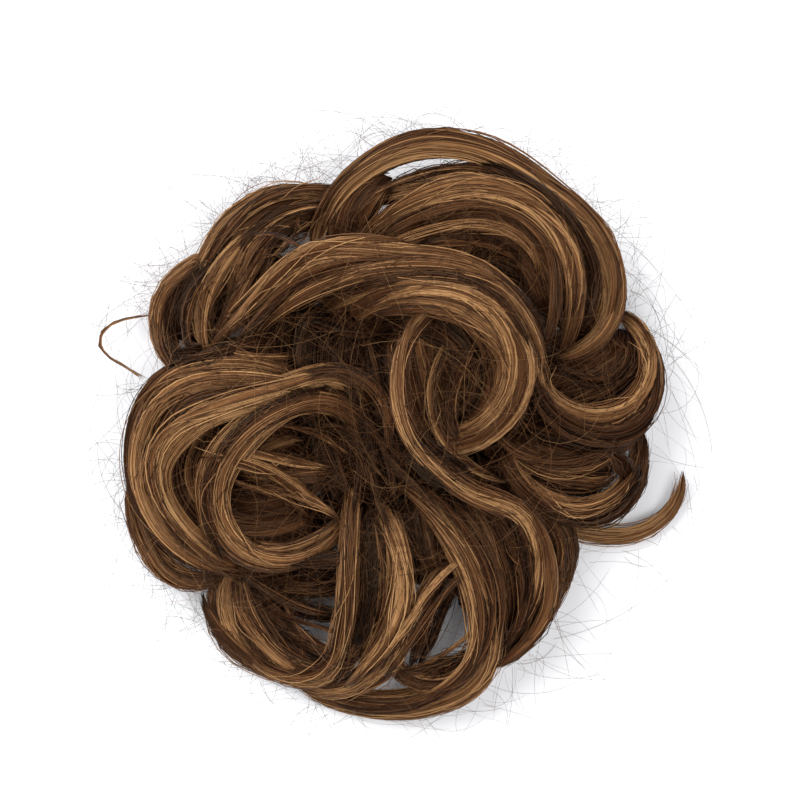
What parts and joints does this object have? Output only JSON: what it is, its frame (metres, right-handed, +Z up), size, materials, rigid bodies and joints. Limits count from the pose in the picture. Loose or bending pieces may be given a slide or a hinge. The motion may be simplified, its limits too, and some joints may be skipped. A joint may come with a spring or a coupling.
{
  "type": "top knot hairpiece on an elastic ring",
  "caption": "Round top knot hairpiece of curled hair locks tied on an elastic ring, worn round a knot of the wearer's own hair.",
  "frame": {"origin": "middle of the hairpiece's outline, on the surface that its elastic ring lies on", "axes": "+Z up, out of the knot; +Y towards the big arched loop; +X towards the thin wisp"},
  "size_m": [0.1582, 0.164, 0.0578],
  "materials": {
    "woven_elastic": "dark woven elastic",
    "caramel_hair": "silky synthetic hair, brown with caramel streaks",
    "walnut_hair": "silky synthetic hair, middle brown",
    "chestnut_hair": "silky synthetic hair, dark brown"
  },
  "bodies": {
    "root": {"elastic_band": "woven_elastic", "tuft_centre": "caramel_hair", "tuft_upper_right": "caramel_hair", "tuft_right": "walnut_hair", "tuft_left": "caramel_hair", "tuft_lower_right": "caramel_hair", "tuft_lower_left": "walnut_hair", "tuft_upper_left": "chestnut_hair"}
  },
  "joints": []
}
